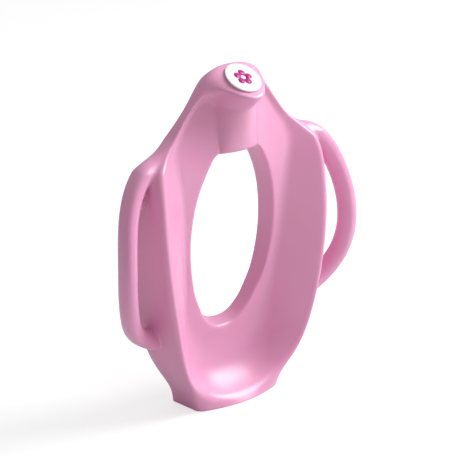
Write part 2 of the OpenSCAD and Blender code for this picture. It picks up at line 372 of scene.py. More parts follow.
def node(tree: bpy.types.NodeTree, kind: str, inputs: dict | None = None, **settings) -> bpy.types.Node:
    """Adds a shader node with its settings, values and links.

    Args:
        tree: The node tree that it goes into.
        kind: The node's type name.
        inputs: Socket name or number to a plain value, or to an output socket that is linked.
        **settings: The node's own properties.

    Returns:
        The new node.
    """
    made = tree.nodes.new(kind)
    for name, value in settings.items():
        setattr(made, name, value)
    for name, value in (inputs or {}).items():
        if isinstance(value, bpy.types.NodeSocket):
            tree.links.new(value, made.inputs[name])
        else:
            made.inputs[name].default_value = value
    return made


def linear(hex_colour: str) -> tuple[float, float, float, float]:
    """Turns an sRGB hex colour into linear light.

    Args:
        hex_colour: Six hex digits after a number sign.

    Returns:
        Linear red, green and blue, and an alpha of 1.
    """
    parts = [int(hex_colour[k:k + 2], 16) / 255 for k in (1, 3, 5)]
    return (*(c / 12.92 if c <= 0.04045 else ((c + 0.055) / 1.055) ** 2.4 for c in parts), 1.0)


@dataclass(frozen=True)
class MouldedPlastic:
    """An injection-moulded plastic, dyed in the mass, whose gloss comes from a polished mould.

    To the eye it has a clean, slightly wavy highlight over a soft body colour that bleeds a little light.
    Lengths ending in _mm are millimetres on the real seat. The grain is drawn coarser than a mould's real
    polish marks, which would be too fine to show.
    """

    name: str
    colour: str
    shade: str
    roughness: float
    ior: float = 1.49
    gloss_spread: tuple[float, float] = (0.92, 1.1)
    tint_drift_mm: float = 70.0
    bleed: float = 0.12
    bleed_mm: float = 3.0
    bleed_share: tuple[float, float, float] = (1.0, 0.45, 0.6)
    wave_mm: float = 26.0
    wave_height_mm: float = 0.02
    grain_mm: float = 1.2
    grain_height_mm: float = 0.0015
    polish: float = 0.0
    polish_roughness: float = 0.42
    polish_ior: float = 1.5

    def build(self) -> bpy.types.Material:
        """Makes the material, with a slow drift of tint, a mould's waviness and a faint grain.

        Returns:
            The new material.
        """
        material = bpy.data.materials.new(self.name)
        tree = bare_tree(material)
        place = node(tree, "ShaderNodeTexCoord").outputs["Object"]
        drift = node(tree, "ShaderNodeTexNoise", {"Vector": place, "Scale": 1 / (self.tint_drift_mm * MM),
                                                  "Detail": 2.0})
        # A Mix node has sockets of the same name for each data type, so colour goes in by place.
        tint = node(tree, "ShaderNodeMix", {0: drift.outputs["Fac"], 6: linear(self.colour),
                                            7: linear(self.shade)}, data_type="RGBA")
        wave = node(tree, "ShaderNodeTexNoise", {"Vector": place, "Scale": 1 / (self.wave_mm * MM),
                                                 "Detail": 1.0})
        grain = node(tree, "ShaderNodeTexNoise", {"Vector": place, "Scale": 1 / (self.grain_mm * MM),
                                                  "Detail": 3.0})
        wavy = node(tree, "ShaderNodeBump", {"Height": wave.outputs["Fac"], "Strength": 1.0,
                                             "Distance": self.wave_height_mm * MM})
        grained = node(tree, "ShaderNodeBump", {"Height": grain.outputs["Fac"], "Strength": 1.0,
                                                "Distance": self.grain_height_mm * MM,
                                                "Normal": wavy.outputs["Normal"]})
        least, most = self.gloss_spread
        gloss = node(tree, "ShaderNodeMapRange", {"Value": grain.outputs["Fac"],
                                                  "To Min": self.roughness * least,
                                                  "To Max": self.roughness * most})
        skin = node(tree, "ShaderNodeBsdfPrincipled", {
            "Base Color": tint.outputs[2], "Roughness": gloss.outputs["Result"], "IOR": self.ior,
            "Subsurface Weight": self.bleed, "Subsurface Radius": self.bleed_share,
            "Subsurface Scale": self.bleed_mm * MM, "Normal": grained.outputs["Normal"],
            "Coat Weight": self.polish, "Coat Roughness": self.polish_roughness, "Coat IOR": self.polish_ior})
        node(tree, "ShaderNodeOutputMaterial", {"Surface": skin.outputs["BSDF"]})
        return material


# Polypropylene from a polished mould: a milky pink with broad, soft highlights.
PINK_POLYPROPYLENE = MouldedPlastic("pink_polypropylene", "#e49cc2", "#e096bd", 0.34, bleed=0.3,
                                   bleed_mm=5.0, polish=0.7)
# ABS: a clean neutral white, a little glossier than the seat.
WHITE_ABS = MouldedPlastic("white_abs", "#e9e9e8", "#e5e5e4", 0.3, bleed=0.05)
# Screen printing ink: a thin opaque film that takes on the badge's gloss.
MAGENTA_PRINT = MouldedPlastic("magenta_print", "#c4128a", "#bb0f83", 0.35, bleed=0.0)
# Thermoplastic rubber: dull, with no waviness.
STRIP_RUBBER = MouldedPlastic("thermoplastic_rubber", "#c9a3b8", "#c39cb2", 0.6, bleed=0.1,
                              wave_height_mm=0.0)


def dress(piece: bpy.types.Object, material: bpy.types.Material) -> None:
    """Gives a piece one material and reports it.

    Args:
        piece: A mesh object.
        material: Its finish, which takes the place of any other.
    """
    piece.data.materials.clear()
    piece.data.materials.append(material)
    piece.data.polygons.foreach_set("material_index", np.zeros(len(piece.data.polygons), np.int32))
    LOG.info("%s: %d faces in %s", piece.name, len(piece.data.polygons), material.name)


def settle(points: np.ndarray, place: Matrix) -> np.ndarray:
    """Turns and moves rows of points in millimetres to a place in the seat's frame."""
    turn, shift = np.array(place)[:3, :3], np.array(place)[:3, 3]
    return points.reshape(-1, 3) @ turn.T + shift


@dataclass(frozen=True)
class Turned:
    """A turned solid: a profile of [radius, height] rows carried round its own Z axis, with flat ends."""

    profile: tuple[tuple[float, float], ...]
    sides: int = 96

    def build(self, name: str, place: Matrix, part: int = 0) -> bpy.types.Object:
        """Makes the mesh, whose points are [radius cos a, radius sin a, height] for each angle a.

        Args:
            name: The object's name.
            place: Where its axis stands in the seat's frame, in millimetres.
            part: The number kept on its faces.

        Returns:
            The closed solid.
        """
        rows = np.array(self.profile, float)
        a = np.linspace(0, 2 * math.pi, self.sides, endpoint=False)
        rings = np.stack([rows[:, :1] * np.cos(a), rows[:, :1] * np.sin(a),
                          rows[:, 1:] * np.ones(self.sides)], axis=-1)
        return mesh_object(name, settle(rings, place), capped(len(rows), self.sides), part)


@dataclass(frozen=True)
class Badge:
    """A round white badge with rounded edges, and a plain five-petalled flower printed on it.

    Its seat in the crown leaves a gap round it. The boss under the seat is smaller by the overhang, and
    what stands above the seat is cut off up to cut_height.
    """

    diameter: float = 42
    thickness: float = 1.8
    edge: float = 0.5
    edge_steps: int = 6
    overhang: float = 0.6
    gap: float = 0.3
    cut_height: float = 12
    face_rings: tuple[float, float] = (0.7, 0.35)
    flower_reach: float = 11
    flower_eye: float = 3
    flower_points: int = 160
    petals: int = 5
    petal_power: float = 0.6
    print_t: float = 0.12
    print_sink: float = 0.05

    def disc(self, place: Matrix) -> bpy.types.Object:
        """The disc: a turned profile with a small chamfer below and a quarter circle round its top edge.

        Args:
            place: The badge's place in the seat's frame.

        Returns:
            The disc as a closed solid.
        """
        r, t, e = self.diameter / 2, self.thickness, self.edge
        turn = np.linspace(0, math.pi / 2, self.edge_steps)
        chamfer = ((r - e / 2, 0), (r, e / 2))
        top = ((r - e + e * math.cos(a), t - e + e * math.sin(a)) for a in turn)
        face = ((r * share, t) for share in self.face_rings)
        return Turned((*chamfer, *top, *face)).build("badge_disc", place)

    def flower(self, place: Matrix) -> bpy.types.Object:
        """The flower: a thin ring between a round eye and an outline of rounded petals.

        The outline's radius is the reach times a share that rises and falls once for each petal.

        Args:
            place: The badge's place in the seat's frame.

        Returns:
            The print as a closed solid, sunk a little into the disc.
        """
        a = np.linspace(0, 2 * math.pi, self.flower_points, endpoint=False)
        petal = self.flower_reach * (0.5 + 0.5 * np.abs(np.cos(self.petals / 2 * a)) ** self.petal_power)
        eye = np.full_like(a, self.flower_eye)
        low, high = self.thickness - self.print_sink, self.thickness + self.print_t
        rows = np.stack([eye, petal, petal, eye])
        height = np.array([low, low, high, high])[:, None] * np.ones_like(a)
        rings = np.stack([rows * np.cos(a), rows * np.sin(a), height], axis=-1)
        return mesh_object("badge_flower", settle(rings, place), quads(4, len(a), True))

    def build(self, place: Matrix) -> None:
        """Makes and dresses the disc and its print, which stand for the solid badge together.

        Args:
            place: The badge's place in the seat's frame.
        """
        for piece, finish in ((self.disc(place), WHITE_ABS), (self.flower(place), MAGENTA_PRINT)):
            dress(piece, finish.build())
            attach(piece, "root")
            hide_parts("badge")


@dataclass
class SeatMoulding:
    """The pink moulding: shell, pommel, foot, handles, webs and ribs in one piece.

    A section through the shell has six corners: the opening's back edge, its front edge, the fold of the
    bowl, the rim, the middle of the outer side and the base edge. A table gives each corner's line from
    the bottom middle (row 0) to the top middle (the last row), as [x, height, depth] or as said beside it.
    Depths of the rim, the crown and the grip are above the leaning base plane. A place u round the ring
    counts these rows.
    """

    sizes: SeatSizes = SIZES
    columns: int = 352
    corner_steps: tuple[int, ...] = (3, 8, 14, 12, 10, 3, 3, 6, 8, 8, 6, 3)
    leg_steps: tuple[int, ...] = (4, 8, 8, 6, 6, 1, 4, 4, 6, 6, 3, 1)
    hollow_corner_steps: tuple[int, ...] = (1, 1, 2, 3, 3, 2, 1, 1)
    hollow_leg_steps: tuple[int, ...] = (1, 1, 1, 1, 1, 1, 1, 1)
    rib_corner_steps: tuple[int, ...] = (1, 4, 6, 6, 4, 1)
    rib_leg_steps: tuple[int, ...] = (2, 2, 2, 2, 2, 8)
    hollow_stride: int = 4

    # The opening's front edge, with heights above its lowest point.
    hole: np.ndarray = table(
        [0, 0.5, 20], [12, 2, 20], [21.5, 8, 20.5], [29, 15.5, 21.5], [35, 22.5, 22.5], [40, 31.5, 24],
        [44.8, 41, 25.5], [50, 51, 27], [54, 64, 29], [58.5, 85, 31], [61, 108, 33], [60, 132, 34.5],
        [56.5, 155, 36.5], [50.5, 174, 38], [44.5, 187, 39.5], [39, 197, 40.5], [35, 204, 41],
        [31.5, 207.5, 41.5], [29.5, 209, 42], [28, 209.5, 42], [26, 210, 42], [20.5, 210, 42], [11, 210, 42],
        [0, 210, 42])
    # The rim's crest, from the lip over the foot round the bowl and up to the pommel's lip.
    rim: np.ndarray = table(
        [0, 8, 50], [24, 9, 50], [42, 13, 50.5], [54, 18, 51], [63.5, 25, 51.5], [72.5, 31, 53], [82, 40, 55],
        [91, 55.5, 57], [99, 77, 58.5], [108, 114, 59.5], [116, 155, 58], [121, 196, 54.5], [122, 234, 49.5],
        [119, 268, 41.5], [111, 298, 28], [91, 305, 17.5], [75, 324, 14.5], [60, 343, 14], [47, 357, 16.5],
        [36, 362, 23], [29, 362, 33], [22.5, 358.5, 43], [12.5, 354, 53], [0, 352, 57])
    # The fold of the bowl: its share of the way from the opening's edge to the rim, and its depth
    # measured from that edge.
    fold: np.ndarray = table(
        [.68, -8], [.67, -8], [.63, -8], [.59, -7.5], [.54, -7], [.47, -6.5], [.42, -5.5], [.34, -4.5],
        [.27, -3.5], [.2, -3], [.2, -2], [.22, -1.5], [.3, -2], [.42, -2.5], [.6, -4], [.83, -9],
        [.87, -13.5], [.87, -14], [.87, -12.5], [.84, -9.5], [.72, -8], [.74, 1.5], [.76, 6], [.77, 8.5])
    # The outer side over the foot: its middle, whose first four depths come from the foot's bow, and
    # then its base edge as [x, height].
    foot_mid: np.ndarray = table(
        [0, 0, 0], [26, 0, 0], [48, 0, 0], [59, 0, 0], [62, 0, 36], [62.5, 7, 31], [68, 22, 29],
        [82, 42.5, 29], [98.5, 70, 31])
    foot_base: np.ndarray = table(
        [0, 0], [26, 0], [48, 0], [59, 0], [62, 0], [62, 6], [66, 20], [79, 37], [99.5, 66])
    # The outer side, from the rim: x and height of its middle, x and height of its base edge, and the
    # share of the rim's depth that its middle has.
    side: np.ndarray = table(
        [4.5, -3, 9, -5, .5], [5.5, -2, 11, -4, .5], [5.5, -1, 11, -2, .5], [5.5, 0, 11, 0, .5],
        [7, 1, 4, 1, .72], [10, -7, 3, 1.5, .76], [0, 1.5, 0, 2, .6], [-0.5, 0, -1.5, 0, .5],
        [-2, 0, -4, -1, .5], [0, 3, -2, 2, .5])
    # The crown's top edge behind the badge, then its base edge as [x, height].
    crown: np.ndarray = table(
        [42.5, 369, 11], [37, 376, 10.5], [27, 381.5, 9], [14, 384, 7.5], [0, 384.5, 7])
    crown_base: np.ndarray = table([40, 365], [35, 371], [25, 376], [13, 379], [0, 380])
    # How round the fold and the outer side's middle are, row by row.
    fold_round: np.ndarray = table(
        36, 36, 34, 30, 26, 20, 15, 10, 8, 7, 7, 7, 7, 7, 7, 6, 4, 3, 3, 3, 3, 3, 3, 3)
    edge_round: np.ndarray = table(
        2, 2, 2, 2, 4, 8, 8, 8, 8, 8, 8, 8, 6, 3, 3, 4, 3, 3, 4, 8, 12, 14, 14, 14)
    # A corner's arc takes up at most this share of its shorter leg, and the fold's the second one.
    arc_share: float = 0.48
    fold_share: float = 0.8
    # Guide rows: how many the foot's bow shapes, over how many the opening's draft fades upwards, over
    # how many the column's front swells, and how far from the top the lip's own roundness reaches and fades.
    bow_rows: int = 4
    draft_rows: float = 10
    swell_rows: float = 3
    lip_rows: float = 5.5
    lip_fade: float = 2
    # Inside the wall a rounding is smaller by a share of the wall, and in its middle by 1 mm, but never
    # less than the second value of each pair.
    inner_round: tuple[float, float] = (0.6, 1)
    middle_round: tuple[float, float] = (1, 0.5)

    crease_x: float = 27
    crease_depth: float = 4
    crease_z: tuple[float, float] = (276, 349)
    crease_fade: tuple[float, float] = (8, 12)

    # The grip's middle line: x at its root, share of the handle's reach, height, depth, and what its
    # width and its depth gain there.
    grip: np.ndarray = table(
        [97, 0, 290, 9, 6, -2], [108, 0, 291.5, 12, 4, 1], [119, .02, 288, 14.5, 3, 2],
        [123, .19, 280.5, 16.5, 2, 2], [123, .54, 264.5, 21, 1, 1], [124, .81, 240, 28.5, 0, 0],
        [124, .97, 212, 36.5, 0, 0], [124, 1.03, 185, 40.5, 0, 0], [124, 1, 160, 40, 0, 0],
        [123, .87, 138, 36, 0, 0], [120, .69, 118.5, 28.5, 0, 0], [115, .42, 104.5, 22, 1, 0],
        [108, .15, 95.5, 17.5, 3, 1], [100, 0, 90.5, 15, 5, 2])
    handle_reach: float = 38.8
    grip_w: float = 19.5
    grip_depth: float = 20.5
    grip_rings: int = 150
    grip_sides: int = 48
    # Powers of the grip's superellipse: the whole ring, its inner front corner, and its outer front
    # corner at the root, which fades out over a share of the grip's length.
    grip_square: float = 3
    grip_cut: float = 1.7
    root_cut: float = 1.3
    root_to: float = 0.3

    # The web: shares of the grip's length where it starts and ends, its thickness, how far it steps
    # forward on the way, how far it stands back and below the grip's middle, its least width, and x at
    # its root.
    web_from: float = 0.16
    web_to: float = 0.345
    web_t: float = 3.5
    web_forward: float = 3
    web_setback: float = 4
    web_drop: float = 1
    web_least_w: float = 1
    web_root: tuple[float, float] = (118, 124)
    web_rings: int = 40
    web_end_rings: int = 7
    web_arc_points: int = 9

    low_fillet: Fillet = Fillet(5, 25)
    high_fillet: Fillet = Fillet(22, 160, above=288)
    web_fillet: Fillet = Fillet(4, 12)

    # Places of the ribs on one half, their thickness and how far they stand back from the base plane.
    ribs: tuple[float, ...] = (2.5, 8.5, 11, 13.2, 16.5)
    rib_t: float = 2
    rib_setback: float = 9

    # The badge's middle, as a share of the way from the lip to the crown's top edge, and the angle past
    # which an edge of the finished moulding is shaded as crisp.
    badge_rise: float = 0.565
    crisp_deg: float = 38

    last: int = field(init=False)
    lines: list[np.ndarray] = field(init=False)
    badge_low: np.ndarray = field(init=False)
    badge_high: np.ndarray = field(init=False)

    def __post_init__(self) -> None:
        """Works out the six guide lines over both halves, from their tables."""
        s = self.sizes
        count = len(self.rim)
        self.last = count - 1
        row = np.arange(count)
        swell = np.clip((row - self.last + self.swell_rows) / self.swell_rows, 0, 1)
        edge = self.hole.copy()
        edge[:, 1] += s.hole_z
        edge[:, 2] += s.column_swell * np.sin(swell * math.pi / 2)
        rim = self.rim.copy()
        rim[:, 2] += s.plane(rim[:, 1])
        back = edge * [s.hole_taper, 1, 0]
        back[:, 1] += s.hole_draft * np.clip(1 - row / self.draft_rows, 0, None)
        back[:, 2] = s.plane(back[:, 1])
        share = self.fold[:, :1]
        fold = edge * (1 - share) + rim * share
        fold[:, 2] = edge[:, 2] + self.fold[:, 1]
        # The outer side is the foot's own, then follows the rim up the flank, and ends in the crown's.
        foot = slice(0, len(self.foot_mid))
        flank = slice(len(self.foot_mid), count - len(self.crown))
        crown = slice(count - len(self.crown), count)
        mid, base = np.zeros((count, 3)), np.zeros((count, 3))
        mid[foot], base[foot, :2] = self.foot_mid, self.foot_base
        # The foot's flat face is bowed in front: its depth falls off with the square of x.
        bow = slice(0, self.bow_rows)
        mid[bow, 2] = s.foot_depth - s.foot_bow * (2 * mid[bow, 0] / s.foot_w) ** 2
        mid[flank, :2] = rim[flank, :2] + self.side[:, :2]
        mid[flank, 2] = rim[flank, 2] * self.side[:, 4] + s.plane(mid[flank, 1]) * (1 - self.side[:, 4])
        base[flank, :2] = rim[flank, :2] + self.side[:, 2:4]
        mid[crown] = self.crown
        mid[crown, 2] += s.plane(self.crown[:, 1])
        base[crown, :2] = self.crown_base
        base[:, 2] = s.plane(base[:, 1])
        self.lines = [both_halves(line) for line in (back, edge, fold, rim, mid, base)]
        self.badge_low, self.badge_high = rim[-1], mid[-1]

    def corners(self, u: np.ndarray) -> np.ndarray:
        """The cross-section's six corners at each place u round the ring, as (places, 6, 3)."""
        return np.stack([b_spline(line, u) for line in self.lines], axis=1)

    def rounds(self, u: np.ndarray) -> np.ndarray:
        """Works out how round the section's corners are.

        Args:
            u: Places round the ring.

        Returns:
            The rounding at each of the six corners, as (places, 6).
        """
        s = self.sizes
        fold = b_spline(both_halves(self.fold_round)[:, None], u)[:, 0]
        edge = b_spline(both_halves(self.edge_round)[:, None], u)[:, 0]
        near_top = np.clip((self.lip_rows - np.abs(u - self.last)) / self.lip_fade, 0, 1)
        rim = s.rim_round + (s.lip_round - s.rim_round) * near_top
        ends = np.full_like(u, s.edge_round)
        return np.stack([ends, np.full_like(u, s.hole_round), fold, rim, edge, ends], axis=1)

    def inward(self, c: np.ndarray, t: float) -> np.ndarray:
        """Moves each section's corners inwards, square to its legs, with its ends on the base plane.

        A section lies nearly in an upright plane through its hole edge and rim. In that plane each corner
        moves along the mean of its two legs' normals, lengthened so that both legs end up t away.

        Args:
            c: Corners as (places, 6, 3).
            t: The distance in millimetres.

        Returns:
            The moved corners.
        """
        sharpest = 0.35
        o = c[:, 1:2]
        along = unit(c[:, 3:4, :2] - o[..., :2])
        off = c[..., :2] - o[..., :2]
        flat = np.stack([(off * along).sum(-1), c[..., 2]], axis=-1)
        side = off[..., 1] * along[..., 0] - off[..., 0] * along[..., 1]
        leg = unit(flat[:, 1:] - flat[:, :-1])
        normal = np.stack([leg[..., 1], -leg[..., 0]], axis=-1)
        before, after = normal[:, [0, 0, 1, 2, 3, 4]], normal[:, [0, 1, 2, 3, 4, 4]]
        spread = np.maximum(1 + (before * after).sum(-1, keepdims=True), sharpest)
        q = flat + (before + after) / spread * t
        x = o[..., 0] + q[..., 0] * along[..., 0] - side * along[..., 1]
        z = o[..., 1] + q[..., 0] * along[..., 1] + side * along[..., 0]
        moved = np.stack([x, z, q[..., 1]], axis=-1)
        slope = math.tan(math.radians(self.sizes.base_lean))
        for end, beside in ((0, 1), (5, 4)):
            p, e = moved[:, end], unit(moved[:, end] - moved[:, beside])
            gap = (self.sizes.plane(p[:, 1]) - p[:, 2]) / (e[:, 2] - e[:, 1] * slope)
            moved[:, end] = p + e * gap[:, None]
        return moved

    def mid_wall(self, u: np.ndarray) -> tuple[np.ndarray, np.ndarray]:
        """The section's corners and their rounding halfway through the wall, at each place u."""
        loss, least = self.middle_round
        return self.inward(self.corners(u), self.sizes.wall / 2), np.maximum(self.rounds(u) - loss, least)

    def ring(self, c: np.ndarray, r: np.ndarray, corner_steps: tuple[int, ...], leg_steps: tuple[int, ...],
             wide: tuple[int, ...] = (2,)) -> np.ndarray:
        """Closed sections through corners, each corner rounded as a quadratic Bezier arc along its legs.

        Args:
            c: Corners as (places, corners, 3).
            r: Roundings as (places, corners).
            corner_steps: Steps over each rounded corner.
            leg_steps: Steps along the straight leg after each corner.
            wide: Numbers of the corners whose arc may take up the fold's share of its legs.

        Returns:
            Section points as (places, points, 3).
        """
        before, after = np.roll(c, 1, axis=1) - c, np.roll(c, -1, axis=1) - c
        share = np.full(c.shape[1], self.arc_share)
        share[list(wide)] = self.fold_share
        shorter = np.minimum(np.linalg.norm(before, axis=-1), np.linalg.norm(after, axis=-1))
        reach = np.minimum(r, share * shorter)
        start = c + unit(before) * reach[..., None]
        stop = c + unit(after) * reach[..., None]
        out = []
        for k, (steps, legs) in enumerate(zip(corner_steps, leg_steps)):
            t = np.linspace(0, 1, steps + 1)[:, None]
            p, q, m = start[:, k, None], stop[:, k, None], c[:, k, None]
            out.append((1 - t) ** 2 * p + 2 * t * (1 - t) * m + t**2 * q)
            t = (np.arange(1, legs) / legs)[:, None]
            after_leg = start[:, (k + 1) % c.shape[1], None]
            out.append(q + (after_leg - q) * t)
        return np.concatenate(out, axis=1)

    def crease(self, p: np.ndarray) -> np.ndarray:
        """Rounds the pommel's column and sharpens the creases where it meets its flanks.

        Depth grows by half an ellipse across the column, which fades in above the opening's sides and out
        below the lip.

        Args:
            p: Points as [x, height, depth] along the last axis.

        Returns:
            The same points, with their new depth.
        """
        rise = np.sqrt(np.clip(1 - (p[..., 0] / self.crease_x) ** 2, 0, 1))
        (low, high), (fade_in, fade_out) = self.crease_z, self.crease_fade
        fade = np.clip((p[..., 1] - low) / fade_in, 0, 1) * np.clip((high - p[..., 1]) / fade_out, 0, 1)
        out = p.copy()
        out[..., 2] += self.crease_depth * rise * fade
        return out

    def shell(self) -> bpy.types.Object:
        """The shell's skin, lofted through closed sections all the way round.

        Each section runs through the six outer corners and back through the same corners moved inwards.

        Returns:
            The shell as a closed solid.
        """
        u = np.arange(self.columns) * 2 * self.last / self.columns
        outer, r = self.corners(u), self.rounds(u)
        inner = self.inward(outer, self.sizes.wall)
        loss, least = self.inner_round
        inner_r = np.maximum(r - self.sizes.wall * loss, least)
        inner_r[:, [0, 5]] = self.sizes.edge_round
        c = np.concatenate([outer, inner[:, ::-1]], axis=1)
        radii = np.concatenate([r, inner_r[:, ::-1]], axis=1)
        rings = self.crease(self.ring(c, radii, self.corner_steps, self.leg_steps, wide=(2, 9)))
        faces = quads(len(rings), rings.shape[1], True)
        return mesh_object("seat_moulding", self.sizes.place(rings), faces, Part.SHELL)

    def hollow(self) -> bpy.types.Object:
        """The space under the shell, from the middle of its wall to behind the base plane.

        Returns:
            The space as a closed solid, which is only cut with.
        """
        u = np.arange(0, self.columns, self.hollow_stride) * 2 * self.last / self.columns
        q, r = self.mid_wall(u)
        behind = np.array([0, 0, -self.sizes.wall])
        c = np.concatenate([q[:, :1] + behind, q, q[:, -1:] + behind], axis=1)
        r = np.concatenate([r[:, :1] * 0, r, r[:, :1] * 0], axis=1)
        rings = self.ring(c, r, self.hollow_corner_steps, self.hollow_leg_steps)
        faces = quads(len(rings), rings.shape[1], True)
        return mesh_object("hollow", self.sizes.place(rings), faces, Part.SHELL)

    def grip_line(self, t: np.ndarray) -> np.ndarray:
        """The grip's middle line, a B-spline through its table.

        Args:
            t: Shares of the grip's length, from its upper root.

        Returns:
            Rows of [x, height, depth, width gain, depth gain].
        """
        g = self.grip
        rows = np.stack([g[:, 0] + g[:, 1] * self.handle_reach, g[:, 2], self.sizes.plane(g[:, 2]) + g[:, 3],
                         g[:, 4], g[:, 5]], axis=1)
        return b_spline(rows, t * (len(rows) - 1), closed=False)

    def handle(self, side: int) -> bpy.types.Object:
        """One arched grip: a rounded-square ring carried square to its middle line.

        The ring is a superellipse, |x|^n + |y|^n = 1, which is a circle at n = 2 and a square far above.

        Args:
            side: 1 for the right handle and -1 for the left one.

        Returns:
            A closed tube.
        """
        t = np.linspace(0, 1, self.grip_rings + 1)
        line = self.grip_line(t)
        centre = self.sizes.place(line[:, :3])
        way = unit(np.gradient(centre, axis=0))
        across = unit(np.cross(way, [0, 1, 0]))
        front = np.cross(way, across)
        a = np.linspace(0, 2 * math.pi, self.grip_sides, endpoint=False)
        # Towards the root the outer front corner is cut down to a slope, as the shoulder flows into it.
        root = self.root_cut + (self.grip_square - self.root_cut) * np.clip(t / self.root_to, 0, 1)[:, None]
        square = np.where((np.cos(a) > 0) & (np.sin(a) > 0), root, self.grip_square)
        power = 2 / np.where((np.cos(a) < 0) & (np.sin(a) > 0), self.grip_cut, square)
        x = np.sign(np.cos(a)) * np.abs(np.cos(a)) ** power * (self.grip_w + line[:, 3:4]) / 2
        y = np.sign(np.sin(a)) * np.abs(np.sin(a)) ** power * (self.grip_depth + line[:, 4:5]) / 2
        rings = centre[:, None] + across[:, None] * x[..., None] + front[:, None] * y[..., None]
        rings[..., 0] *= side
        return mesh_object("handle", rings, capped(len(rings), self.grip_sides, flip=side < 0), Part.HANDLE)

    def web(self, side: int) -> bpy.types.Object:
        """The thin wall that closes the upper end of the finger gap, from the shell's side to the grip.

        It is a stadium-shaped section carried down beside the grip's middle line. Its last rings shrink
        along a quarter circle, which rounds off the lower edge.

        Args:
            side: 1 for the right web and -1 for the left one.

        Returns:
            A closed plate.
        """
        least = 0.02
        t = np.linspace(self.web_from, self.web_to, self.web_rings)
        share = (t - self.web_from) / (self.web_to - self.web_from)
        shift = np.stack([0 * t, 0 * t - self.web_drop, self.web_forward * share - self.web_setback], axis=1)
        far = self.sizes.place(self.grip_line(t)[:, :3] + shift)
        near = far.copy()
        first, last = self.web_root
        near[:, 0] = np.minimum(first + (last - first) * share, far[:, 0] - self.web_least_w)
        turn = np.linspace(0, math.pi / 2, self.web_end_rings + 1)[1:]
        row = np.concatenate([np.arange(len(t)), np.full(len(turn), len(t) - 1)])
        down = np.concatenate([0 * t, -np.sin(turn)])[:, None, None] * [0, 0, self.web_t / 2]
        scale = np.concatenate([1 + 0 * t, np.maximum(np.cos(turn), least)])[:, None, None]
        a = np.linspace(0, math.pi, self.web_arc_points)
        arc = np.stack([-np.sin(a), np.cos(a), 0 * a], axis=1) * self.web_t / 2 * scale
        rings = np.concatenate([near[row, None] + down + arc, far[row, None] + down - arc], axis=1)
        rings[..., 0] *= side
        return mesh_object("web", rings, capped(len(rings), rings.shape[1], flip=side < 0), Part.WEB)

    def rib(self, u: float) -> bpy.types.Object:
        """A stiffening rib across the hollow, from the opening's wall to the outer wall.

        It is the section halfway through the wall, cut off short of the base plane and given a thickness.

        Args:
            u: Its place round the ring.

        Returns:
            A closed plate.
        """
        q, r = self.mid_wall(np.array([u]))
        line = self.ring(q, r, self.rib_corner_steps, self.rib_leg_steps)[0]
        floor = self.sizes.plane(line[:, 1]) + self.rib_setback
        line[:, 2] = np.maximum(line[:, 2], floor)
        c = self.corners(np.array([u]))[0]
        along = unit(c[3, :2] - c[1, :2])
        aside = np.array([-along[1], along[0], 0]) * self.rib_t / 2
        points = self.sizes.place(np.concatenate([line - aside, line + aside]))
        return mesh_object("rib", points, capped(2, len(line)), Part.RIB)

    def badge_frame(self) -> Matrix:
        """The badge's place: on the crown's front slope, with its own Z square to the slope.

        Returns:
            A turn about X and a move, in millimetres.
        """
        low, high = self.badge_low, self.badge_high
        centre = self.sizes.place(low + (high - low) * self.badge_rise)
        lean = math.atan2(low[2] - high[2], high[1] - low[1])
        return Matrix.Translation(Vector(centre)) @ Matrix.Rotation(math.pi / 2 - lean, 4, "X")

    def seat_badge(self, body: bpy.types.Object, badge: Badge) -> None:
        """Adds the boss under the badge and sinks the badge's flat seat into the crown.

        Args:
            body: The moulding, changed in place.
            badge: The badge that it has to take.
        """
        radius, place = badge.diameter / 2, self.badge_frame()
        boss = Turned(((radius - badge.overhang, -2 * self.sizes.wall), (radius - badge.overhang, 0)))
        sink = Turned(((radius + badge.gap, 0), (radius + badge.gap, badge.cut_height)))
        combine(body, boss.build("boss", place, Part.BADGE_SEAT), Change.ADD)
        combine(body, sink.build("sink", place, Part.BADGE_SEAT), Change.CUT)

    def skin(self, badge: Badge) -> bpy.types.Object:
        """Joins shell, handles, webs and ribs into one skin, rounds their seams and seats the badge.

        Args:
            badge: The badge that is let into the crown.

        Returns:
            The moulding as one closed solid.
        """
        body = self.shell()
        for side in (1, -1):
            for arm in (self.handle(side), self.web(side)):
                combine(arm, self.hollow(), Change.CUT)
                combine(body, arm, Change.ADD)
        seam = seam_vertices(body.data, Part.SHELL, Part.HANDLE)
        high = vertex_array(body.data)[seam, 2] > self.high_fillet.above * MM
        self.low_fillet.apply(body.data, seam[~high])
        self.high_fillet.apply(body.data, seam[high])
        for part in (Part.SHELL, Part.HANDLE):
            self.web_fillet.apply(body.data, seam_vertices(body.data, part, Part.WEB))
        for u in self.ribs:
            for place in (u, 2 * self.last - u):
                combine(body, self.rib(place), Change.ADD)
        self.seat_badge(body, badge)
        body.data.set_sharp_from_angle(angle=math.radians(self.crisp_deg))
        return body

    def build(self, badge: Badge) -> None:
        """Makes and dresses the moulding, which stands for the solid seat.

        Args:
            badge: The badge that is let into the crown.
        """
        body = self.skin(badge)
        dress(body, PINK_POLYPROPYLENE.build())
        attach(body, "root")
        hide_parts("seat_body")


@dataclass(frozen=True)
class GripStrips:
    """The two soft strips, whose solids come over as they are."""

    names: tuple[str, str] = ("grip_strip_right", "grip_strip_left")

    def build(self) -> None:
        """Dresses both strips in the same rubber."""
        rubber = STRIP_RUBBER.build()
        for name in self.names:
            dress(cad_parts[name], rubber)


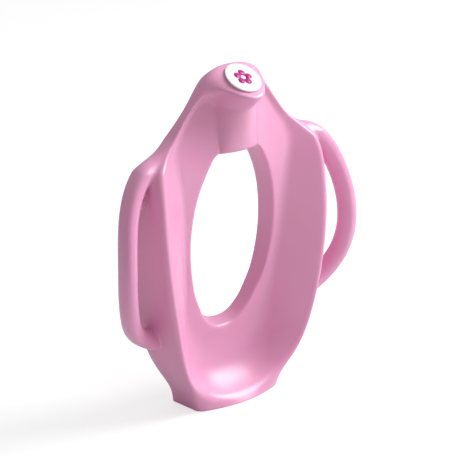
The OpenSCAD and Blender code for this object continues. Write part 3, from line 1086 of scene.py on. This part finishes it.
@dataclass(frozen=True)
class Studio:
    """A white floor, a white room and a soft lamp, with the camera at the photograph's angle.

    The angles are degrees, and azimuth 0 looks along +Y. The lamp's place and size are metres. The room's
    light grows from nothing to sky_level along sky_way, and the camera itself sees plain white.
    """

    azimuth: float = -43.0
    elevation: float = 18.5
    focal_px: float = 1900.0
    distance_mm: float = 2171.7
    foot_px: tuple[float, float] = (213.5, 386.7)
    sensor_mm: float = 36
    clip_m: tuple[float, float] = (0.05, 50)
    key_spot: tuple[float, float, float] = (1.65, -0.85, 1.5)
    key_aim: tuple[float, float, float] = (0, 0, 0.18)
    key_size: float = 1.3
    key_watts: float = 59
    sky_way: tuple[float, float, float] = (0.2, 0.0, 0.98)
    sky_span: tuple[float, float] = (-0.7, 0.9)
    sky_level: float = 0.66
    floor_colour: str = "#e6e6e6"
    floor_glow: float = 1.45
    floor_glow_share: float = 0.45
    floor_reach_mm: float = 4000

    def camera(self) -> None:
        """Sets the camera so that the middle of the foot's rear edge is seen at its place in the frame."""
        a, e = math.radians(self.azimuth), math.radians(self.elevation)
        back = Vector((math.sin(a) * math.cos(e), -math.cos(a) * math.cos(e), math.sin(e)))
        right = Vector((math.cos(a), math.sin(a), 0))
        up = back.cross(right)
        centre = IMAGE_PX / 2
        right_mm = -(self.foot_px[0] - centre) / self.focal_px * self.distance_mm
        up_mm = (self.foot_px[1] - centre) / self.focal_px * self.distance_mm
        spot = Vector((0, SIZES.foot_depth / 2, 0)) + right * right_mm + up * up_mm + back * self.distance_mm
        data = bpy.data.cameras.new("camera")
        data.sensor_width = self.sensor_mm
        data.lens = data.sensor_width * self.focal_px / IMAGE_PX
        data.clip_start, data.clip_end = self.clip_m
        camera = bpy.data.objects.new("camera", data)
        bpy.context.scene.collection.objects.link(camera)
        turn = Matrix((right, up, back)).transposed().to_4x4()
        camera.matrix_world = Matrix.Translation(spot * MM) @ turn
        bpy.context.scene.camera = camera

    def key(self) -> None:
        """Sets the one lamp, square and soft, which looks at the middle of the seat."""
        data = bpy.data.lights.new("key", "AREA")
        data.size = self.key_size
        data.energy = self.key_watts
        lamp = bpy.data.objects.new("key", data)
        bpy.context.scene.collection.objects.link(lamp)
        lamp.location = self.key_spot
        lamp.rotation_mode = "QUATERNION"
        lamp.rotation_quaternion = (Vector(self.key_spot) - Vector(self.key_aim)).to_track_quat("Z", "Y")

    def room(self) -> None:
        """Sets the world: soft light from above, and plain white where the camera looks past the floor."""
        world = bpy.data.worlds.new("room")
        bpy.context.scene.world = world
        tree = bare_tree(world)
        path = node(tree, "ShaderNodeLightPath")
        place = node(tree, "ShaderNodeTexCoord").outputs["Generated"]
        side = node(tree, "ShaderNodeVectorMath", {0: place, 1: self.sky_way}, operation="DOT_PRODUCT")
        low, high = self.sky_span
        level = node(tree, "ShaderNodeMapRange", {"Value": side.outputs["Value"], "From Min": low,
                                                  "From Max": high, "To Min": 0.0, "To Max": self.sky_level})
        room = node(tree, "ShaderNodeBackground", {"Color": (1, 1, 1, 1),
                                                   "Strength": level.outputs["Result"]})
        white = node(tree, "ShaderNodeBackground", {"Color": (1, 1, 1, 1), "Strength": 1.0})
        mixed = node(tree, "ShaderNodeMixShader", {0: path.outputs["Is Camera Ray"], 1: room.outputs[0],
                                                   2: white.outputs[0]})
        node(tree, "ShaderNodeOutputWorld", {"Surface": mixed.outputs[0]})

    def floor(self) -> None:
        """Lays the white floor, which glows a little for the camera alone and so keeps the shadow soft."""
        r = self.floor_reach_mm
        corners = np.array([[-r, -r, 0], [r, -r, 0], [r, r, 0], [-r, r, 0]], float)
        floor = mesh_object("floor", corners, [[0, 1, 2, 3]])
        material = bpy.data.materials.new("white_table")
        tree = bare_tree(material)
        path = node(tree, "ShaderNodeLightPath")
        plain = node(tree, "ShaderNodeBsdfDiffuse", {"Color": linear(self.floor_colour)})
        glow = node(tree, "ShaderNodeEmission", {"Color": (1, 1, 1, 1), "Strength": self.floor_glow})
        seen = node(tree, "ShaderNodeMath", {0: path.outputs["Is Camera Ray"], 1: self.floor_glow_share},
                    operation="MULTIPLY")
        both = node(tree, "ShaderNodeMixShader", {0: seen.outputs[0], 1: plain.outputs[0],
                                                  2: glow.outputs[0]})
        node(tree, "ShaderNodeOutputMaterial", {"Surface": both.outputs[0]})
        floor.data.materials.append(material)

    def build(self) -> None:
        """Sets the camera, the lamp, the room and the floor."""
        bpy.context.scene.view_settings.view_transform = "Standard"
        self.camera()
        self.key()
        self.room()
        self.floor()


def main() -> None:
    """Builds the stage and the seat's pieces."""
    logging.basicConfig(level=logging.INFO, format="%(message)s")
    Studio().build()
    moulding, badge = SeatMoulding(), Badge()
    moulding.build(badge)
    badge.build(moulding.badge_frame())
    GripStrips().build()


if __name__ == "__main__":
    main()
